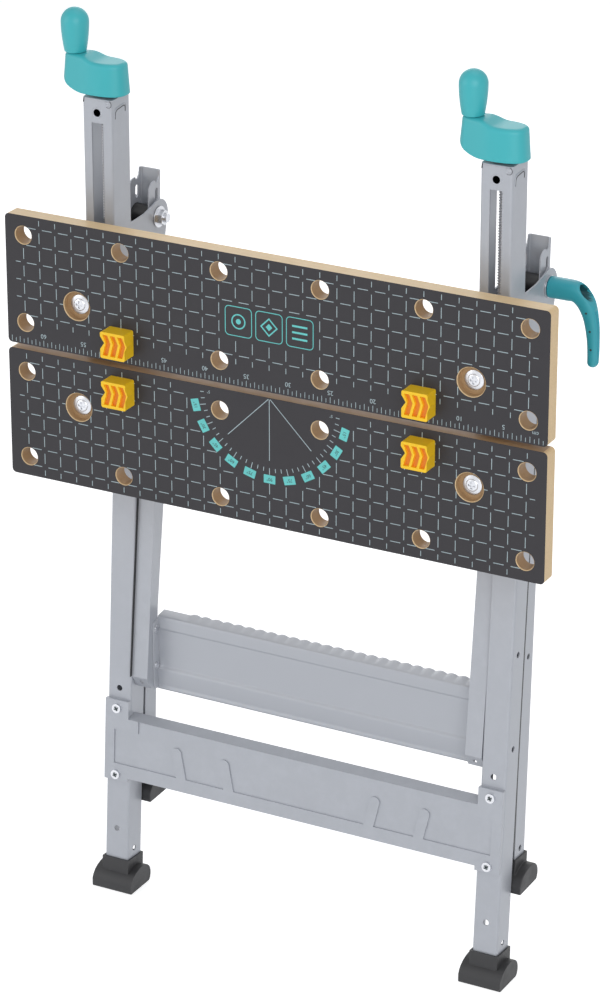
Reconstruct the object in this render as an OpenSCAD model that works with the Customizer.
// Folding workbench with two vice boards, shown folded upright for storage.
// Z is up from the floor, X runs along the boards, and the worktop faces -Y.

/* [Worktop boards] */
// Length of each board
board_w = 645; // [560:5:900]
// Height of each board when the bench is folded
board_h = 147.5; // [146:0.5:170]
// Thickness of each board
board_t = 19; // [16:0.5:20]
// Gap between the two boards with the vice closed
board_gap = 6.2; // [4.6:0.1:12]
// Corner radius of the boards
board_corner = 5; // [2:0.5:12]
// Diameter of the bench dog holes
hole_d = 20; // [16:0.5:24]
// From a board's end to its outermost holes
hole_end = 22.5; // [18:0.5:28]
// Pitch of the two rows in one board
hole_pitch_z = 100; // [80:1:102]
// From a board's outer edge to its outer row of holes
hole_edge = 22.3; // [18:0.1:26]
// Columns of holes each side of the middle
hole_cols = 3; // [2:1:3]
// From a board's outer edge to its mounting screws
screw_edge = 92.3; // [88:0.1:96]
// Diameter of the well round each mounting screw
well_d = 32; // [28:1:36]
// Depth of that well
well_depth = 8; // [4:0.5:10]

/* [Rails and spindles] */
// From a board's end to the middle of its leg, rail and spindle
end_over = 87.5; // [80:0.5:95]
// Width of the rail channel
rail_w = 36; // [34:0.5:37]
// Depth of the rail channel
rail_d = 36; // [34:0.5:38]
// Sheet thickness of the rail
rail_wall = 2; // [1.5:0.1:2.2]
// Outer bend radius of the rail
rail_bend = 3; // [2.5:0.1:5]
// Space between the boards and the rails
standoff = 32; // [28:1:35]
// Height of the rail above the upper board's top edge
rail_over = 125.7; // [110:0.1:140]
// From the lower board's bottom edge up to the rail's end
rail_under = 6.9; // [2:0.1:12]
// Width of the slot in the rail
slot_w = 14; // [13:0.5:16]
// From the rail's top end to the slot
slot_from_top = 27; // [24:1:32]
// Diameter of the hole above the slot
rail_hole_d = 7.5; // [5:0.5:9]
// From the rail's top end to that hole
rail_hole_down = 15.5; // [13:0.5:17]
// Outer diameter of the spindle
spindle_d = 10; // [8:0.5:12]

/* [Cranks] */
// From the spindle to the axis of the knob
crank_reach = 36; // [30:0.5:36]
// Height of the crank arm under the knob
crank_h = 40; // [34:0.5:44]
// Depth of the crank arm at the hub
crank_d = 39.6; // [32:0.2:42]
// Largest diameter of the knob
knob_d = 30.4; // [24:0.2:31]
// Diameter of the knob's foot
knob_foot_d = 24; // [20:0.5:24]
// Height of the knob
knob_h = 48; // [44:0.5:56]

/* [Front frame] */
// Lean of the front legs, feet forward
front_lean = 3.96; // [3:0.01:4.2]
// From the boards' face to the pivot axle
axle_back = 146.5; // [146:0.1:148]
// From the upper board's top edge down to the axle
axle_down = 32.3; // [30:0.1:36]
// Width of the front leg channel
front_w = 30; // [29.8:0.1:30.4]
// Depth of the front leg channel
front_d = 29; // [27:0.1:30]
// Sheet thickness of the legs
leg_wall = 1.5; // [1.2:0.1:1.5]
// From the axle forward to the front leg's face
front_set = 35.2; // [34:0.1:36]
// Length of the front leg below the axle
front_len = 782; // [760:1:800]
// Height of the front leg's end above the floor
foot_lift = 14.3; // [12:0.1:18]
// Height of the front crossbar between the legs
bar_h = 73; // [66:1:76]
// Depth of the front crossbar
bar_d = 5; // [4.5:0.1:6]
// From the leg's end up to the top of the crossbar's middle part
bar_up = 199; // [186:1:210]
// Axle bolt diameter
bolt_d = 10; // [8:0.5:10]

/* [Rear frame] */
// Lean of the rear legs when folded
rear_lean = 2.53; // [2.3:0.01:2.8]
// Width of the rear leg channel
rear_w = 26.4; // [26:0.1:26.4]
// Depth of the rear leg channel
rear_d = 26.5; // [26:0.1:27]
// From the axle back to the rear leg's back
rear_set = 13.4; // [13.2:0.1:13.8]
// Length of the rear leg below the axle
rear_len = 681; // [660:1:690]
// Height of the rear leg above the axle
rear_over = 49.5; // [46:0.5:50]
// Height of the rear crossbar
rear_bar_h = 40; // [36:1:56]

/* [Tray] */
// From the axle down the front leg to the tray's pivot
tray_down = 291; // [285:1:300]
// Width of each tray arm
arm_w = 20; // [18:0.5:22]
// Length of the arm's front web below its pivot
arm_len = 238; // [220:1:245]
// Sheet thickness of the arms
arm_wall = 1.5; // [1.2:0.1:2]
// Sheet thickness of the tray
tray_wall = 1.2; // [1:0.1:1.5]

/* [Feet] */
// Width of the foot's base
foot_w = 51; // [44:1:56]
// Length of the foot's base, front to back
foot_l = 46; // [42:0.5:50]
// Height of the foot's base
foot_h = 25.3; // [22:0.1:28]
// Length of the flat under the foot
foot_flat = 41; // [36:0.5:41]
// Wall of the foot's socket
foot_wall = 2; // [1.8:0.1:3]
// Height of the socket above the end of the leg
socket_h = 22; // [16:0.5:26]

/* [Clamp lever] */
// Radius of the lever's boss
lever_boss_r = 11.5; // [10:0.5:13]
// Length of the lever's boss
lever_boss_l = 33; // [28:0.5:36]
// Width of the lever's handle, front to back
lever_w = 14; // [10:0.5:18]
// Drop of the handle's tip below the axle
lever_drop = 92; // [80:1:100]

/* [Bench dogs] */
// Side of the dog's square head
dog_side = 30; // [26:0.5:32]
// How far the head stands out of the board
dog_head_t = 19; // [14:0.5:22]

/* [Hidden] */

$fn = 48;
// One overrun serves every cut
cut = 1;
// Running clearance of a shaft in its bore
run_fit = 0.06;
// Gap between pieces that move past each other
move_gap = 0.3;
// Gap round pieces that are bolted together
loose = 0.2;

// Finishes
paint = [0.69, 0.71, 0.74];
zinc = [0.78, 0.79, 0.8];
black = [0.17, 0.17, 0.18];
teal = [0.3, 0.72, 0.74];
deep_teal = [0.18, 0.61, 0.67];
dark_face = [0.25, 0.24, 0.26];
yellow = [0.98, 0.78, 0.1];

// Ears of the rail round the axle
ear_r = 19.3;
ear_back = 1;
ear_drop = 0;
ear_rise = 12;
ear_rise_ahead = 29;
ear_shoulder = 10.4;
ear_skirt = 36;
ear_skirt_back = 11;
ear_foot = 84;

// Places set by the boards and the front legs
side_x = board_w / 2 - end_over;
hole_pitch_x = (board_w / 2 - hole_end) / (hole_cols - 0.5);
front_mid_y = -front_set + front_d / 2;
axle_z = foot_lift + front_mid_y * sin(front_lean) + front_len * cos(front_lean);
board_top_z = axle_z + axle_down;

// The boards' face is set so that the origin lies under the middle of the whole bench
face_y = -(axle_back + ear_back + ear_r - dog_head_t) / 2;
board_back_y = face_y + board_t;
rail_y = board_back_y + standoff;
rail_back_y = rail_y + rail_d;
spindle_y = rail_y + rail_d / 2;
upper_z = board_top_z - board_h;
lower_z = upper_z - board_gap - board_h;
rail_top_z = board_top_z + rail_over;
rail_bottom_z = lower_z + rail_under;
row_z = [board_top_z - hole_edge, board_top_z - hole_edge - hole_pitch_z,
         lower_z + hole_edge + hole_pitch_z, lower_z + hole_edge];
jaw_z = board_top_z - screw_edge;
lower_screw_z = lower_z + screw_edge;
axle_y = face_y + axle_back;

// Rail details
tab_t = 2.5;
rail_hole_z = rail_top_z - rail_hole_down;
slot_top_z = rail_top_z - slot_from_top;
neck_h = 24;
slot_spare = 8;
slot_bottom_z = jaw_z - neck_h / 2 - slot_spare;

// Spindle, bushes and nut
spindle_r = spindle_d / 2;
bush_r = 7;
bush_flange_r = 11;
bush_flange_t = 2.7;
collar_r = 8;
collar_t = 6;
spindle_tail = 3;
nut_h = 34;
nut_w = rail_w - 2 * rail_wall - 1;
nut_d = 29;
neck_w = slot_w - 2 * move_gap;

// Brackets between the boards and the rails
bracket_h = 60;
bracket_wall = 3;
carrier_d = standoff - move_gap;
m6_r = 3;
m5_r = 2.5;

// Screws of the boards
screw_washer_r = 11;
screw_washer_t = 1.2;
screw_head_r = 7;
screw_head_t = 1.6;
cross_w = 1.2;
cross_t = 1;
thread_over = 9;

// Crank
crank_gap = move_gap;
crank_z = rail_top_z + bush_flange_t + crank_gap;
crank_tail = 27;
crank_nose_r = 13;
crank_sweep_l = 30;
crank_sweep_h = 17;
crank_draft = 2;
crank_dip = 5;
crank_dip_x = [-23, -2];
crank_bulge = -6;
crank_power = 2.6;
crank_waist = [[-15, 0.96], [-25, 0.83]];
crank_roof = 10;
pin_r = 4;
pin_head_r = 6;
pin_head_t = 2;
knob_z = crank_z + crank_h + move_gap;
knob_neck = 2;

// Front leg
bolt_r = bolt_d / 2;
leg_bend = 3;
front_ear_r = 14;
front_web_top = -6;
leg_hole_r = 3.5;

// Places up the legs, measured from their ends
front_face_holes = [59, 233];
front_side_holes = [32, 264, 374];
rear_side_holes = [31, 260];

// Rear leg
rear_mid_y = rear_set - rear_d / 2;
rear_flange_top = 40;
rear_corner_r = 11;
rear_slot_z = 28;
rear_slot_l = 9;
rear_slot_w = 6;
rear_notch_r = 3;

// Axle stack, outwards from the middle of a leg
ear_in = rail_w / 2 - rail_wall;
ear_out = rail_w / 2;
washer_t = 0.7;
washer_r = 11;
big_washer_r = 12;
big_washer_t = 1.5;
hex_r = 9;
hex_t = 6.5;
sleeve_r = 11.1;
sleeve_half = rear_w / 2 - leg_wall - move_gap;
bolt_spare = 4;
bolt_in_boss = 20;

// Front crossbar
bar_down = front_len - bar_up;
ear_bar_up = 21;
ear_bar_down = 5;
bar_skin = 1.8;
panel_depth = 1.5;
panel_edge = 12;
panel_low = 16;
panel_high = 15;
panel_step = 28;
rib_w = 12.5;
rib_top_down = 21;
rib_shares = [0.3617, 0.6234];
rib_slant = 10;
strip_back = 14;
strip_rise = 5;
bar_screw_in = 10;
bar_screw_low = 2.5;
bar_boss_r = 7;
bar_head_r = 5.5;
bar_head_t = 2.6;
carrier_head_r = 4.5;

// Rear crossbar
rear_bar_clear = 1;
rear_bar_down = rear_len - socket_h - rear_bar_clear - rear_bar_h;
rear_bar_d = 20;
rear_bar_wall = 1.5;
rear_bolt_in = 14;

// Tray
tray_pivot_y = -15;
pivot_y = axle_y + tray_pivot_y * cos(front_lean) - tray_down * sin(front_lean);
pivot_z = axle_z - tray_pivot_y * sin(front_lean) - tray_down * cos(front_lean);
arm_gap = 0.6;
arm_x = side_x - front_w / 2 - arm_gap - arm_w / 2;
arm_r = 11;
arm_lean = 25.4;
arm_tab_back = 9;
arm_tab_l = 15;
arm_mid = 160;
arm_mid_y = -10.4;
arm_foot = 19;
arm_foot_y = -15.4;
arm_hole_r = 2.5;
arm_pin_r = 4;
arm_pin_head_r = 7;
arm_pin_head_t = 2;
// Section of the tray, as steps back from the arm's pivot and down from it
tray_rim_y = 4;
tray_rim_z = 169.5;
tray_rim_hem = 4;
tray_fold_y = -10.4;
tray_fold_z = 170.5;
tray_crease_z = 187;
tray_crease_y = -9.6;
tray_low_z = 232;
tray_low_y = -10.8;
tray_toe_y = -15;
tray_toe_z = 253.5;
tray_lip_y = -9;
tray_lip_z = 259;
tray_end_h = 40;
tray_end_d = 13;
rivet_r = 2.4;
rivet_head_r = 4.5;
rivet_head_t = 1.5;

// Foot, in shares of its own length and height
foot_top_shares = [[0, 0.4], [0.05, 0.58], [0.13, 0.74], [0.26, 0.87], [0.4, 0.95]];
foot_heel_share = 0.4;
foot_crown_share = 0.6;
foot_toe = 25.3;
rear_toe = 22.7;
foot_corner = 2;
foot_fit = loose;
socket_floor = 6;

// Clamp lever
lever_x = ear_out + big_washer_t + move_gap;
lever_end_x = lever_x + lever_boss_l;
lever_hip = 8;
lever_bulge = 21;
lever_out = 16;
lever_root_t = 15;
lever_tip_t = 11;
lever_recess_r = 5;
lever_recess_h = 5;

// Bench dog
dog_corner = 2;
dog_peg_gap = 0.08;
dog_peg_short = 1;
dog_apex = 2.5;
dog_notch_h = 8.8;
dog_notch_d = 5;
dog_bulge_d = 2.9;
dog_bulge_t = 12;
dog_chevron_t = 3;
dog_chevron_w = 6.2;
dog_chevron_h = 11.8;
dog_chevron_lean = 3.8;
dog_chevron_pitch = 9.1;
dog_col_x = 1.5 * hole_pitch_x;

// Outline (Y, Z) drawn as a plate from x on, along X
module plate_x(x, t) {
  translate([x, 0, 0]) rotate([90, 0, 90]) linear_extrude(t) children();
}

// Outline (X, Z) drawn as a plate from y on, along Y
module plate_y(y, t) {
  translate([0, y + t, 0]) rotate([90, 0, 0]) linear_extrude(t) children();
}

// Round bar along X, Y or Z
module bar_x(r, x0, x1) {
  translate([x0, 0, 0]) rotate([0, 90, 0]) cylinder(r = r, h = x1 - x0);
}
module bar_y(r, y0, y1) {
  translate([0, y0, 0]) rotate([-90, 0, 0]) cylinder(r = r, h = y1 - y0);
}
module bar_z(r, z0, z1) {
  translate([0, 0, z0]) cylinder(r = r, h = z1 - z0);
}

// Rectangle from its lower left corner, with round corners
module round_rect(w, h, r) {
  translate([r, 0]) square([w - 2 * r, h]);
  translate([0, r]) square([w, h - 2 * r]);
  for (x = [r, w - r], y = [r, h - r]) translate([x, y]) circle(r);
}

// Section of a channel: web along X at y = 0, flanges towards +Y
module channel(w, d, t, bend) {
  difference() {
    union() {
      translate([-w / 2, bend]) square([w, d - bend]);
      translate([-w / 2 + bend, 0]) square([w - 2 * bend, bend]);
      for (s = [-1, 1]) translate([s * (w / 2 - bend), bend]) circle(bend);
    }
    translate([-w / 2 + t, bend]) square([w - 2 * t, d]);
    translate([-w / 2 + bend, t]) square([w - 2 * bend, bend]);
    for (s = [-1, 1]) translate([s * (w / 2 - bend), bend]) circle(bend - t);
  }
}

// Points of an arc
function arc(x, y, rx, ry, a0, a1, n) =
  [for (i = [0:n]) [x + rx * cos(a0 + (a1 - a0) * i / n), y + ry * sin(a0 + (a1 - a0) * i / n)]];

// Left-hand normal of a step, and the mitred offset of a folded sheet's line
function side_of(p, q) = let (d = q - p) [-d[1], d[0]] / norm(d);
function shifted(pts, t) = [for (i = [0:len(pts) - 1])
  let (a = side_of(pts[max(i - 1, 0)], pts[max(i, 1)]),
       b = side_of(pts[min(i, len(pts) - 2)], pts[min(i + 1, len(pts) - 1)]))
  pts[i] + t * (a + b) / (1 + a * b)];
function reversed(pts) = [for (i = [len(pts) - 1:-1:0]) pts[i]];

// A sheet of thickness t folded along a line of points
module folded(pts, t) {
  polygon(concat(pts, reversed(shifted(pts, t))));
}

module at_axle() {
  translate([0, axle_y, axle_z]) children();
}
module in_front_leg(s = 1) {
  translate([s * side_x, axle_y, axle_z]) rotate([-front_lean, 0, 0]) children();
}
module in_rear_leg(s = 1) {
  translate([s * side_x, axle_y, axle_z]) rotate([-rear_lean, 0, 0]) children();
}

// Left pieces are the right ones mirrored
module side(s) {
  if (s < 0) mirror([1, 0, 0]) children();
  else children();
}

// Pan-head screw along +Y with its head's seat at y = 0, and a nut at its far end
module pan_screw(head_r, head_t, r, l) {
  difference() {
    bar_y(head_r, -head_t, 0);
    for (a = [0, 90]) rotate([0, a, 0])
      translate([-head_r / 2, -head_t - cut, -cross_w / 2]) cube([head_r, cross_t + cut, cross_w]);
  }
  bar_y(r, 0, l);
}
module hex_nut(across_r, t) {
  rotate([-90, 0, 0]) cylinder(r = across_r, h = t, $fn = 6);
}

// Front legs

module front_leg(s) {
  color(paint) in_front_leg(s) difference() {
    union() {
      translate([0, -front_set, -front_len])
        linear_extrude(front_len + front_web_top) channel(front_w, front_d, leg_wall, leg_bend);
      for (x = [-front_w / 2, front_w / 2 - leg_wall]) plate_x(x, leg_wall) {
        polygon([[-front_set + leg_bend, front_web_top - cut],
                 [-front_ear_r / 2, front_ear_r * sin(60)],
                 [front_ear_r, 0],
                 [-front_set + front_d, -3 * front_ear_r],
                 [-front_set + leg_bend, -3 * front_ear_r]]);
        circle(front_ear_r);
      }
    }
    bar_x(bolt_r + run_fit, -front_w, front_w);
    translate([0, 0, -front_len]) {
      for (z = front_face_holes) translate([0, 0, z]) bar_y(leg_hole_r, -front_set - cut, 0);
      for (z = front_side_holes) translate([0, front_mid_y, z]) bar_x(leg_hole_r, -front_w, front_w);
    }
    for (z = bar_screw_places()) translate([0, 0, z]) bar_y(m6_r + loose, -front_set - cut, 0);
    translate([0, tray_pivot_y, -tray_down])
      bar_x(arm_pin_r + run_fit, -s * front_w / 2 - front_w / 4, -s * front_w / 2 + front_w / 4);
  }
}
module front_leg_left() { front_leg(-1); }
module front_leg_right() { front_leg(1); }

// Moulded foot: a socket round the leg's end on a base that stands level when folded

module foot_base() {
  heel_z = foot_heel_share * foot_h;
  crown_y = foot_crown_share * foot_l;
  polygon(concat(
    arc(foot_corner, foot_corner, foot_corner, foot_corner, 180, 270, 4),
    arc(foot_flat, heel_z, foot_l - foot_flat, heel_z, -90, 0, 8),
    arc(crown_y, heel_z, foot_l - crown_y, foot_h - heel_z, 0, 90, 12),
    reversed([for (p = foot_top_shares) [p[0] * foot_l, p[1] * foot_h]])));
}
module foot(w, d, mid_y, l, toe) {
  translate([0, mid_y, -l]) {
    difference() {
      union() {
        translate([-w / 2 - foot_fit - foot_wall, -d / 2 - foot_fit - foot_wall, -socket_floor])
          cube([w + 2 * (foot_fit + foot_wall), d + 2 * (foot_fit + foot_wall), socket_floor + socket_h]);
        rotate([front_lean, 0, 0]) plate_x(-foot_w / 2, foot_w)
          translate([-toe, -foot_lift]) foot_base();
      }
      translate([-w / 2 - foot_fit, -d / 2 - foot_fit, 0])
        cube([w + 2 * foot_fit, d + 2 * foot_fit, socket_h + cut]);
    }
  }
}
module front_foot(s) {
  color(black) in_front_leg(s) foot(front_w, front_d, front_mid_y, front_len, foot_toe);
}
module front_foot_left() { front_foot(-1); }
module front_foot_right() { front_foot(1); }

// Pressed front crossbar with end plates screwed to the legs

function bar_screw_places() =
  [-bar_down + ear_bar_up - bar_screw_in, -bar_down - bar_h + bar_screw_low];

module bar_outline(inset) {
  w = side_x - front_w / 2;
  translate([-w - cut, -bar_down - bar_h + inset]) square([2 * (w + cut), bar_h - 2 * inset]);
  for (s = [-1, 1]) translate([s * side_x - front_w / 2 + inset, -bar_down - bar_h - ear_bar_down + inset])
    square([front_w - 2 * inset, bar_h + ear_bar_down + ear_bar_up - 2 * inset]);
}
module bar_panel(grow) {
  w = side_x + front_w / 2 - panel_edge + grow;
  step = side_x - panel_step + grow;
  low = -bar_down - bar_h + panel_low - grow;
  difference() {
    union() {
      translate([-w, low]) square([2 * w, bar_h - panel_low - panel_high + 2 * grow]);
      translate([-step, low]) square([2 * step, bar_h - panel_low + grow]);
    }
    for (s = [-1, 1], share = rib_shares) bar_rib(s, share * side_x, rib_w / 2 - grow);
  }
}
module bar_rib(s, x, r) {
  top = -bar_down - rib_top_down - rib_w / 2;
  foot = -bar_down - bar_h;
  polygon([[s * x - r, foot], [s * x + r, foot],
           [s * (x + rib_slant) + r, top], [s * (x + rib_slant) - r, top]]);
  translate([s * (x + rib_slant), top]) circle(r);
}
module front_crossbar() {
  y = -front_set - bar_d;
  w = side_x - front_w / 2 - loose;
  color(paint) translate([-side_x, 0, 0]) in_front_leg() difference() {
    union() {
      plate_y(y, bar_skin) difference() {
        bar_outline(0);
        bar_panel(0);
      }
      plate_y(y + panel_depth, bar_skin) intersection() {
        bar_outline(0);
        bar_panel(bar_skin);
      }
      plate_y(y, bar_d) difference() {
        bar_outline(0);
        bar_outline(bar_skin);
      }
      plate_x(-w, 2 * w) translate([y, -bar_down])
        folded([[strip_back, strip_rise], [0, 0], [0, -bar_h + cut]], bar_skin);
      for (s = [-1, 1], z = bar_screw_places()) translate([s * side_x, 0, z])
        bar_y(bar_boss_r, y + bar_skin / 2, y + bar_d);
    }
    for (s = [-1, 1], z = bar_screw_places()) translate([s * side_x, 0, z])
      bar_y(m6_r + loose, y - cut, y + bar_d + cut);
    plate_y(y - bar_skin, bar_skin + panel_depth) intersection() {
      bar_outline(0);
      bar_panel(0);
    }
  }
}
module crossbar_screws() {
  color(zinc) for (s = [-1, 1], z = bar_screw_places()) in_front_leg(s)
    translate([0, -front_set - bar_d, z]) {
      pan_screw(bar_head_r, bar_head_t, m6_r, bar_d + leg_wall);
      translate([0, bar_d + leg_wall, 0]) hex_nut(bar_head_r, hex_t / 2);
    }
}

// Axle bolts, nut, washers and spacer sleeves

module pivot_bolt_left() {
  color(zinc) at_axle() side(-1) translate([side_x, 0, 0]) {
    bar_x(bolt_r, -ear_out - big_washer_t - hex_t - bolt_spare, ear_out + move_gap);
    translate([ear_out + move_gap, 0, 0]) rotate([0, 90, 0]) cylinder(r = hex_r, h = hex_t, $fn = 6);
  }
}
module pivot_bolt_right() {
  color(zinc) at_axle() translate([side_x, 0, 0]) {
    bar_x(bolt_r, -ear_out - move_gap, lever_x + bolt_in_boss);
    translate([-ear_out - move_gap - hex_t, 0, 0])
      rotate([0, 90, 0]) cylinder(r = hex_r, h = hex_t, $fn = 6);
  }
}
module pivot_nut_left() {
  color(zinc) at_axle() side(-1) translate([side_x, 0, 0]) difference() {
    union() {
      bar_x(big_washer_r, -ear_out - big_washer_t - move_gap, -ear_out - move_gap);
      translate([-ear_out - big_washer_t - move_gap - hex_t, 0, 0])
        rotate([0, 90, 0]) cylinder(r = hex_r, h = hex_t + cut / 2, $fn = 6);
    }
    bar_x(bolt_r + run_fit, -2 * ear_out, 0);
  }
}
module pivot_washers() {
  color(black) at_axle() for (s = [-1, 1], x = [-front_w / 2 - washer_t, front_w / 2])
    translate([s * side_x, 0, 0]) difference() {
      bar_x(washer_r, x, x + washer_t);
      bar_x(bolt_r + run_fit, x - cut, x + washer_t + cut);
    }
  color(zinc) at_axle() translate([side_x, 0, 0]) difference() {
    bar_x(big_washer_r, ear_out + move_gap / 2, ear_out + move_gap / 2 + big_washer_t);
    bar_x(bolt_r + run_fit, ear_out, ear_out + 2 * big_washer_t);
  }
}
module pivot_sleeves() {
  color(black) at_axle() for (s = [-1, 1]) translate([s * side_x, 0, 0]) difference() {
    bar_x(sleeve_r, -sleeve_half, sleeve_half);
    bar_x(bolt_r + run_fit, -front_w, front_w);
  }
}
module tray_pivot_pins() {
  color(zinc) for (s = [-1, 1]) translate([0, pivot_y, pivot_z]) side(s) {
    bar_x(arm_pin_r, arm_x + arm_w / 2 - arm_wall - arm_gap, side_x - front_w / 2 + leg_wall);
    bar_x(arm_pin_head_r, side_x - front_w / 2 + leg_wall, side_x - front_w / 2 + leg_wall + arm_pin_head_t);
    bar_x(arm_pin_head_r, arm_x + arm_w / 2 - arm_wall - arm_gap - arm_pin_head_t,
          arm_x + arm_w / 2 - arm_wall - arm_gap + cut / 2);
  }
}

// Rear legs, feet and crossbar

module rear_flange() {
  difference() {
    polygon(concat(
      [[rear_set - leg_bend, -cut], [rear_set - leg_bend, rear_over - cut]],
      [[rear_set - 2 * leg_bend, rear_flange_top]],
      arc(-rear_d + rear_set + rear_corner_r, rear_flange_top - rear_corner_r,
          rear_corner_r, rear_corner_r, 90, 180, 8),
      [[-rear_d + rear_set, -cut]]));
    translate([rear_mid_y + rear_notch_r, rear_flange_top]) circle(rear_notch_r);
  }
}
module rear_leg(s) {
  color(paint) in_rear_leg(s) difference() {
    union() {
      translate([0, rear_set, -rear_len]) mirror([0, 1, 0])
        linear_extrude(rear_len) channel(rear_w, rear_d, leg_wall, leg_bend);
      translate([0, rear_set, -cut]) mirror([0, 1, 0])
        linear_extrude(rear_over + cut) channel(rear_w, leg_bend + cut, leg_wall, leg_bend);
      for (x = [-rear_w / 2, rear_w / 2 - leg_wall]) plate_x(x, leg_wall) rear_flange();
    }
    bar_x(bolt_r + run_fit, -rear_w, rear_w);
    for (z = rear_side_holes) translate([0, rear_mid_y, z - rear_len]) bar_x(leg_hole_r, -rear_w, rear_w);
    translate([0, rear_mid_y + rear_notch_r, rear_slot_z]) {
      bar_x(rear_slot_w / 2, -rear_w, rear_w);
      plate_x(-rear_w, 2 * rear_w) translate([-rear_slot_w / 2, -rear_slot_l])
        square([rear_slot_w, rear_slot_l]);
      translate([0, 0, -rear_slot_l]) bar_x(rear_slot_w / 2, -rear_w, rear_w);
    }
    for (z = rear_bolt_places()) translate([0, rear_mid_y, z])
      bar_x(m6_r + loose, -s * rear_w / 2 - rear_w / 4, -s * rear_w / 2 + rear_w / 4);
  }
}
module rear_leg_left() { rear_leg(-1); }
module rear_leg_right() { rear_leg(1); }
module rear_foot(s) {
  color(black) in_rear_leg(s) foot(rear_w, rear_d, rear_mid_y, rear_len, rear_toe);
}
module rear_foot_left() { rear_foot(-1); }
module rear_foot_right() { rear_foot(1); }

function rear_bolt_places() =
  [-rear_bar_down - rear_bolt_in, -rear_bar_down - rear_bar_h + rear_bolt_in];

module rear_crossbar() {
  w = side_x - rear_w / 2;
  color(paint) translate([-side_x, 0, 0]) in_rear_leg() difference() {
    translate([-w, rear_mid_y - rear_bar_d / 2, -rear_bar_down - rear_bar_h])
      cube([2 * w, rear_bar_d, rear_bar_h]);
    translate([-w + rear_bar_wall, rear_mid_y - rear_bar_d / 2 - cut,
               -rear_bar_down - rear_bar_h + rear_bar_wall])
      cube([2 * (w - rear_bar_wall), rear_bar_d - rear_bar_wall + cut, rear_bar_h - 2 * rear_bar_wall]);
    for (z = rear_bolt_places()) translate([0, rear_mid_y, z]) bar_x(m6_r + loose, -w - cut, w + cut);
  }
}
module rear_crossbar_bolts() {
  x = side_x - rear_w / 2;
  color(zinc) for (s = [-1, 1], z = rear_bolt_places())
    translate([-side_x, 0, 0]) in_rear_leg() translate([0, rear_mid_y, z]) side(s) {
      bar_x(m6_r, x - rear_bar_wall, x + leg_wall);
      bar_x(bar_head_r, x + leg_wall, x + leg_wall + bar_head_t);
      translate([x - rear_bar_wall - bar_head_t, 0, 0])
        rotate([0, 90, 0]) cylinder(r = bar_head_r, h = bar_head_t, $fn = 6);
    }
}

// Swinging tray and its arms

module arm_outline() {
  circle(arm_r);
  polygon([[-arm_r, 0], [-arm_r - arm_lean, -arm_len],
           [-arm_r - arm_lean + arm_tab_back, -arm_len - arm_tab_l],
           [arm_foot_y, -arm_len - arm_foot], [arm_mid_y, -arm_mid], [arm_r, 0]]);
}
module tray_arm(s) {
  color(paint) side(s) translate([arm_x, pivot_y, pivot_z]) difference() {
    plate_x(-arm_w / 2, arm_w) arm_outline();
    plate_x(-arm_w / 2 + arm_wall, arm_w - 2 * arm_wall) translate([arm_wall, 0]) arm_outline();
    bar_x(arm_pin_r + run_fit, arm_w / 4, arm_w);
    translate([0, -arm_r - arm_lean + arm_tab_back / 2, -arm_len - arm_tab_l / 2])
      bar_y(arm_hole_r, -arm_tab_back, arm_tab_back);
    for (p = rivet_places()) translate([0, p[0], p[1]]) bar_x(rivet_r + run_fit, -arm_w, -arm_w / 4);
  }
}
module tray_arm_left() { tray_arm(-1); }
module tray_arm_right() { tray_arm(1); }

function rivet_places() = [for (z = [tray_crease_z, tray_low_z])
  [tray_fold_y - tray_end_d / 2, -z + rivet_head_r]];

module tray_pan() {
  w = arm_x - arm_w / 2;
  color(paint) translate([0, pivot_y, pivot_z]) difference() {
    union() {
      plate_x(-w, 2 * w) folded([
        [tray_rim_y, -tray_rim_z - tray_rim_hem], [tray_rim_y, -tray_rim_z],
        [tray_fold_y, -tray_fold_z], [tray_crease_y, -tray_crease_z],
        [tray_low_y, -tray_low_z], [tray_toe_y, -tray_toe_z], [tray_lip_y, -tray_lip_z]], tray_wall);
      for (x = [-w, w - tray_wall], p = rivet_places()) plate_x(x, tray_wall)
        translate([tray_fold_y - tray_end_d, p[1] - tray_end_d / 2])
          square([tray_end_d + tray_wall, tray_end_d]);
    }
    for (p = rivet_places()) translate([0, p[0], p[1]]) bar_x(rivet_r + run_fit, -w - cut, w + cut);
  }
}
module tray_rivets() {
  x = arm_x - arm_w / 2;
  color(zinc) translate([0, pivot_y, pivot_z]) for (s = [-1, 1], p = rivet_places())
    side(s) translate([0, p[0], p[1]]) {
      bar_x(rivet_r, x - tray_wall, x + arm_wall);
      bar_x(rivet_head_r, x - tray_wall - rivet_head_t, x - tray_wall);
      bar_x(rivet_head_r, x + arm_wall, x + arm_wall + rivet_head_t);
    }
}

// Rails

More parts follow.
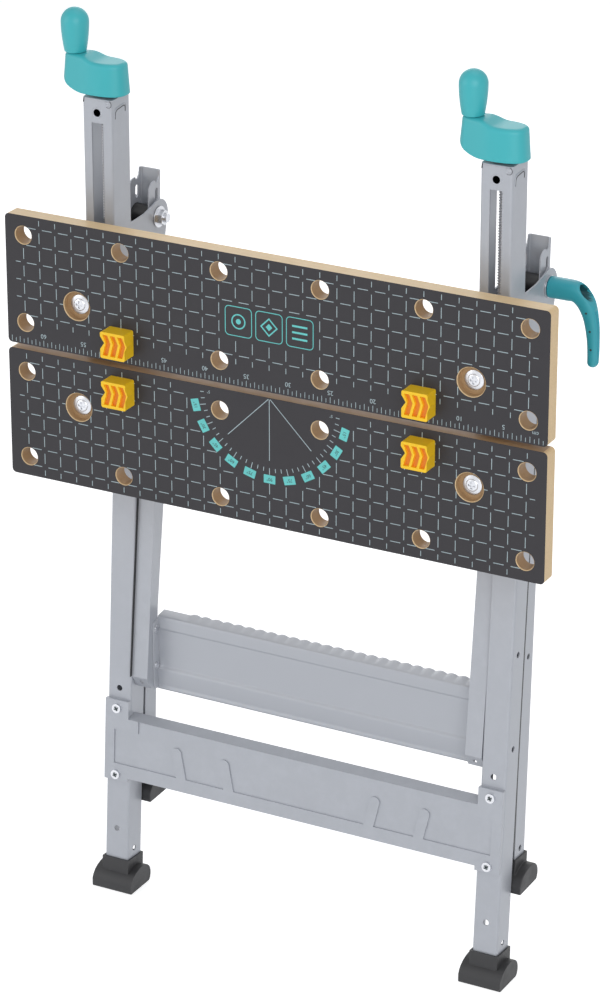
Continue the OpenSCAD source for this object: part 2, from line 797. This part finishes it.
module rail_ear() {
  polygon([[rail_back_y - cut, axle_z + ear_shoulder], [axle_y - ear_rise_ahead, axle_z + ear_rise],
           [axle_y + ear_back, axle_z - ear_drop + ear_r], [axle_y + ear_back + ear_r, axle_z - ear_drop],
           [axle_y + ear_skirt_back, axle_z - ear_skirt], [rail_back_y - cut, axle_z - ear_foot]]);
  translate([axle_y + ear_back, axle_z - ear_drop]) circle(ear_r);
}
module rail(s) {
  color(paint) difference() {
    union() {
      translate([s * side_x, rail_y, rail_bottom_z])
        linear_extrude(rail_top_z - rail_bottom_z) channel(rail_w, rail_d, rail_wall, rail_bend);
      for (x = [-rail_w / 2, rail_w / 2 - rail_wall]) plate_x(s * side_x + x, rail_wall) rail_ear();
      for (z = [rail_bottom_z, rail_top_z - tab_t])
        translate([s * side_x - ear_in - cut / 2, rail_y + rail_wall / 2, z])
          cube([2 * ear_in + cut, rail_d - rail_wall, tab_t]);
    }
    translate([s * side_x, 0, rail_hole_z]) bar_y(rail_hole_d / 2, rail_y - cut, rail_y + rail_wall + cut);
    translate([s * side_x - slot_w / 2, rail_y - cut, slot_bottom_z])
      cube([slot_w, rail_wall + 2 * cut, slot_top_z - slot_bottom_z]);
    translate([s * side_x, spindle_y, 0]) {
      bar_z(bush_r + run_fit, rail_bottom_z - cut, rail_bottom_z + tab_t + cut);
      bar_z(bush_r + run_fit, rail_top_z - tab_t - cut, rail_top_z + cut);
    }
    at_axle() translate([s * side_x, 0, 0]) bar_x(bolt_r + run_fit, -rail_w, rail_w);
    for (z = lower_bolt_places()) translate([s * side_x, 0, z])
      bar_y(m5_r + loose, rail_y - cut, rail_y + rail_wall + cut);
  }
}
module rail_left() { rail(-1); }
module rail_right() { rail(1); }

// Boards

module dog_holes(rows) {
  for (s = [-1, 1], i = [0:hole_cols - 1], z = rows)
    translate([s * (i + 0.5) * hole_pitch_x, 0, z]) bar_y(hole_d / 2, face_y - cut, board_back_y + cut);
}
module board(z, rows, screw_z) {
  color(dark_face) difference() {
    plate_y(face_y, board_t) translate([-board_w / 2, z]) round_rect(board_w, board_h, board_corner);
    dog_holes(rows);
    for (s = [-1, 1]) translate([s * side_x, 0, screw_z]) {
      bar_y(well_d / 2, face_y - cut, face_y + well_depth);
      bar_y(m6_r + loose, face_y, board_back_y + cut);
    }
  }
}
module upper_board() { board(upper_z, [row_z[0], row_z[1]], jaw_z); }
module lower_board() { board(lower_z, [row_z[2], row_z[3]], lower_screw_z); }

module board_screws(screw_z) {
  l = board_t - well_depth + bracket_wall;
  color(zinc) for (s = [-1, 1]) translate([s * side_x, face_y + well_depth - screw_washer_t, screw_z]) {
    difference() {
      bar_y(screw_washer_r, 0, screw_washer_t);
      bar_y(m6_r - run_fit, -cut, board_t);
    }
    pan_screw(screw_head_r, screw_head_t, m6_r, l + screw_washer_t);
    translate([0, l + screw_washer_t, 0]) hex_nut(screw_head_r, hex_t);
  }
}
module upper_board_screws() { board_screws(jaw_z); }
module lower_board_screws() { board_screws(lower_screw_z); }

// Box brackets: sliding carriers behind the upper board, fixed ones behind the lower

module bracket(s, z, d, places) {
  color(zinc) difference() {
    translate([s * side_x - rail_w / 2, board_back_y, z - bracket_h / 2]) cube([rail_w, d, bracket_h]);
    translate([s * side_x - rail_w / 2 + bracket_wall, board_back_y + bracket_wall, z - bracket_h / 2 - cut])
      cube([rail_w - 2 * bracket_wall, d - 2 * bracket_wall, bracket_h + 2 * cut]);
    translate([s * side_x, 0, z]) bar_y(m6_r + loose, board_back_y - cut, board_back_y + bracket_wall + cut);
    for (p = places) translate([s * side_x, 0, p])
      bar_y(m5_r + loose, board_back_y + d - bracket_wall - cut, board_back_y + d + cut);
  }
}
function carrier_places() = [jaw_z - neck_h / 4, jaw_z + neck_h / 4];
function lower_bolt_places() = [lower_screw_z - bracket_h / 4, lower_screw_z + bracket_h / 4];
module jaw_carrier_left() { bracket(-1, jaw_z, carrier_d, carrier_places()); }
module jaw_carrier_right() { bracket(1, jaw_z, carrier_d, carrier_places()); }
module lower_bracket_left() { bracket(-1, lower_screw_z, standoff, lower_bolt_places()); }
module lower_bracket_right() { bracket(1, lower_screw_z, standoff, lower_bolt_places()); }
module lower_bracket_bolts() {
  color(zinc) for (s = [-1, 1], z = lower_bolt_places())
    translate([s * side_x, rail_y - bracket_wall, z]) {
      pan_screw(bar_head_r, bar_head_t, m5_r, bracket_wall + rail_wall);
      translate([0, bracket_wall + rail_wall, 0]) hex_nut(bar_head_r, hex_t / 2);
    }
}

// Spindle nuts run in the rails, with a neck out through the slot to the carrier

module spindle_nut(s) {
  y0 = board_back_y + carrier_d;
  color(black) translate([s * side_x, 0, jaw_z]) difference() {
    union() {
      translate([-nut_w / 2, spindle_y - nut_d / 2, -nut_h / 2]) cube([nut_w, nut_d, nut_h]);
      translate([-neck_w / 2, y0, -neck_h / 2])
        cube([neck_w, spindle_y - y0 - nut_d / 4, neck_h]);
    }
    translate([0, spindle_y, 0]) bar_z(spindle_r + run_fit, -nut_h, nut_h);
    for (z = carrier_places()) translate([0, 0, z - jaw_z])
      bar_y(m5_r + run_fit, y0 - cut, y0 + thread_over);
  }
}
module spindle_nut_left() { spindle_nut(-1); }
module spindle_nut_right() { spindle_nut(1); }
module carrier_screws() {
  y0 = board_back_y + carrier_d - bracket_wall;
  color(zinc) for (s = [-1, 1], z = carrier_places()) translate([s * side_x, y0, z])
    pan_screw(carrier_head_r, bar_head_t, m5_r, bracket_wall + thread_over - cut);
}

// Spindles and their bushes

module spindle_bushes() {
  color(black) for (s = [-1, 1]) translate([s * side_x, spindle_y, 0]) difference() {
    union() {
      bar_z(bush_r, rail_bottom_z, rail_bottom_z + tab_t);
      bar_z(bush_flange_r, rail_bottom_z + tab_t, rail_bottom_z + tab_t + bush_flange_t);
      bar_z(bush_r, rail_top_z - tab_t, rail_top_z);
      bar_z(bush_flange_r, rail_top_z, rail_top_z + bush_flange_t);
    }
    bar_z(spindle_r + run_fit, rail_bottom_z - cut, rail_top_z + bush_flange_t + cut);
  }
}
module spindle(s) {
  color(zinc) translate([s * side_x, spindle_y, 0]) {
    bar_z(spindle_r, rail_bottom_z - spindle_tail, crank_z + crank_h - crank_roof);
    bar_z(collar_r, rail_bottom_z + tab_t + bush_flange_t + move_gap,
          rail_bottom_z + tab_t + bush_flange_t + move_gap + collar_t);
    bar_z(collar_r, rail_top_z - tab_t - move_gap - collar_t, rail_top_z - tab_t - move_gap);
  }
}
module spindle_left() { spindle(-1); }
module spindle_right() { spindle(1); }

// Crank arms, each with a pin on which its knob spins. Both point the same way when folded

// The top rises in a smooth step from the hub to the knob, and the end under the knob sweeps up
function crank_top(n) = [for (i = [0:n])
  [crank_dip_x[1] + (crank_dip_x[0] - crank_dip_x[1]) * i / n,
   crank_h - crank_dip * (1 + cos(180 * i / n)) / 2]];
module crank_side() {
  end = -crank_reach - crank_nose_r;
  polygon(concat(
    [[crank_tail, 0], [crank_tail - crank_draft, crank_h - crank_dip]], crank_top(6), [[end, crank_h]],
    arc(end + crank_sweep_l, crank_sweep_h, crank_sweep_l, crank_sweep_h, 180, 270, 12)));
}
// Seen from above, the hub is a superellipse that narrows to the round end under the knob
function crank_hub(n) = [for (i = [-n:n]) let (c = cos(90 * i / n), s = sin(90 * abs(i) / n))
  [crank_bulge + (crank_tail - crank_bulge) * pow(c, 2 / crank_power),
   sign(i) * crank_d / 2 * pow(s, 2 / crank_power)]];
module crank_plan() {
  waist = [for (p = crank_waist) [p[0], p[1] * crank_d / 2]];
  translate([-crank_reach, 0]) circle(crank_nose_r);
  polygon(concat(crank_hub(9), waist, [[-crank_reach, crank_nose_r], [-crank_reach, -crank_nose_r]],
                 reversed([for (p = waist) [p[0], -p[1]]])));
}
module crank_arm(s) {
  color(teal) translate([s * side_x, spindle_y, crank_z]) difference() {
    intersection() {
      plate_y(-crank_d / 2, crank_d) crank_side();
      linear_extrude(crank_h) crank_plan();
    }
    bar_z(spindle_r + run_fit, -cut, crank_h - crank_roof);
    translate([-crank_reach, 0, 0]) bar_z(pin_r + run_fit, 0, crank_h + cut);
  }
}
module crank_arm_left() { crank_arm(-1); }
module crank_arm_right() { crank_arm(1); }
module crank_pin(s) {
  color(zinc) translate([s * side_x - crank_reach, spindle_y, 0]) {
    bar_z(pin_r, crank_z + crank_h / 2, knob_z + knob_h / 2);
    bar_z(pin_head_r, knob_z + knob_h / 2, knob_z + knob_h / 2 + pin_head_t);
  }
}
module crank_pin_left() { crank_pin(-1); }
module crank_pin_right() { crank_pin(1); }

// Knob: a cone of arcs from its foot to a half ball, hollow for the pin and its head
module knob(s) {
  r = knob_d / 2;
  color(teal) translate([s * side_x - crank_reach, spindle_y, knob_z]) difference() {
    rotate_extrude() polygon(concat(
      [[0, 0], [knob_foot_d / 2 - knob_neck / 2, 0]],
      arc(knob_foot_d / 2 - knob_neck / 2, knob_neck, knob_neck / 2, knob_neck, -90, 0, 3),
      arc(knob_foot_d / 2, knob_h - r, r - knob_foot_d / 2, knob_h - r - 2 * knob_neck, -70, -10, 6),
      arc(0, knob_h - r, r, r, 0, 90, 12)));
    bar_z(pin_r + run_fit, -cut, knob_h / 2);
    bar_z(pin_head_r + move_gap, knob_h / 2 - move_gap, knob_h / 2 + pin_head_t + move_gap);
  }
}
module knob_left() { knob(-1); }
module knob_right() { knob(1); }

// Clamp lever on the right end of the axle

function lever_line(u) = let (
    a = [lever_end_x - lever_hip, -lever_hip / 2],
    b = [lever_end_x + lever_bulge - lever_hip / 2, -lever_drop / 3],
    c = [lever_end_x + lever_out, -lever_drop + lever_tip_t / 2])
  (1 - u) * (1 - u) * a + 2 * u * (1 - u) * b + u * u * c;

module clamp_lever() {
  steps = 10;
  line = [for (i = [0:steps]) lever_line(i / steps)];
  half = [for (i = [0:steps]) (lever_root_t + (lever_tip_t - lever_root_t) * i / steps) / 2];
  normal = [for (i = [0:steps]) side_of(line[max(i - 1, 0)], line[min(i + 1, steps)])];
  color(deep_teal) at_axle() translate([side_x, 0, 0]) difference() {
    union() {
      bar_x(lever_boss_r, lever_x, lever_end_x - lever_hip / 2);
      plate_y(-lever_w / 2, lever_w) {
        polygon(concat([for (i = [0:steps]) line[i] + half[i] * normal[i]],
                       [for (i = [steps:-1:0]) line[i] - half[i] * normal[i]]));
        translate(line[steps]) circle(lever_tip_t / 2);
        translate(line[0]) circle(lever_root_t / 2);
      }
    }
    bar_x(bolt_r + run_fit, lever_x - cut, lever_x + bolt_in_boss + move_gap);
    translate([lever_end_x, 0, -lever_hip / 2]) bar_x(lever_recess_r, -lever_recess_h / 2, lever_end_x);
  }
}

// Bench dogs

module dog_vee(x, d) {
  polygon([[x, dog_apex - dog_notch_h], [x + d, dog_apex], [x, dog_apex + dog_notch_h]]);
}
module dog(s, z) {
  color(yellow) translate([s * dog_col_x, 0, z]) {
    difference() {
      union() {
        plate_y(face_y - dog_head_t, dog_head_t) difference() {
          translate([-dog_side / 2, -dog_side / 2]) round_rect(dog_side, dog_side, dog_corner);
          dog_vee(-dog_side / 2 - cut, dog_notch_d + cut);
        }
        plate_y(face_y - dog_head_t, dog_bulge_t) dog_vee(dog_side / 2 - cut, dog_bulge_d + cut);
      }
      plate_y(face_y - dog_head_t - cut, dog_chevron_t + cut) for (i = [-1:1])
        translate([i * dog_chevron_pitch, 0]) polygon([
          [-dog_chevron_w / 2, -dog_chevron_h], [dog_chevron_w / 2, -dog_chevron_h],
          [dog_chevron_w / 2 + dog_chevron_lean, dog_apex], [dog_chevron_w / 2, dog_chevron_h],
          [-dog_chevron_w / 2, dog_chevron_h], [-dog_chevron_w / 2 + dog_chevron_lean, dog_apex]]);
    }
    bar_y(hole_d / 2 - dog_peg_gap, face_y, board_back_y - dog_peg_short);
  }
}
module dog_1() { dog(-1, row_z[1]); }
module dog_2() { dog(1, row_z[1]); }
module dog_3() { dog(-1, row_z[2]); }
module dog_4() { dog(1, row_z[2]); }

front_leg_left();
front_leg_right();
front_foot_left();
front_foot_right();
front_crossbar();
crossbar_screws();
pivot_bolt_left();
pivot_bolt_right();
pivot_nut_left();
pivot_washers();
pivot_sleeves();
tray_pivot_pins();
rear_leg_left();
rear_leg_right();
rear_foot_left();
rear_foot_right();
rear_crossbar();
rear_crossbar_bolts();
tray_pan();
tray_arm_left();
tray_arm_right();
tray_rivets();
rail_left();
rail_right();
lower_board();
lower_bracket_left();
lower_bracket_right();
lower_board_screws();
lower_bracket_bolts();
spindle_bushes();
upper_board();
jaw_carrier_left();
jaw_carrier_right();
spindle_nut_left();
spindle_nut_right();
upper_board_screws();
carrier_screws();
spindle_left();
crank_arm_left();
crank_pin_left();
knob_left();
spindle_right();
crank_arm_right();
crank_pin_right();
knob_right();
clamp_lever();
dog_1();
dog_2();
dog_3();
dog_4();
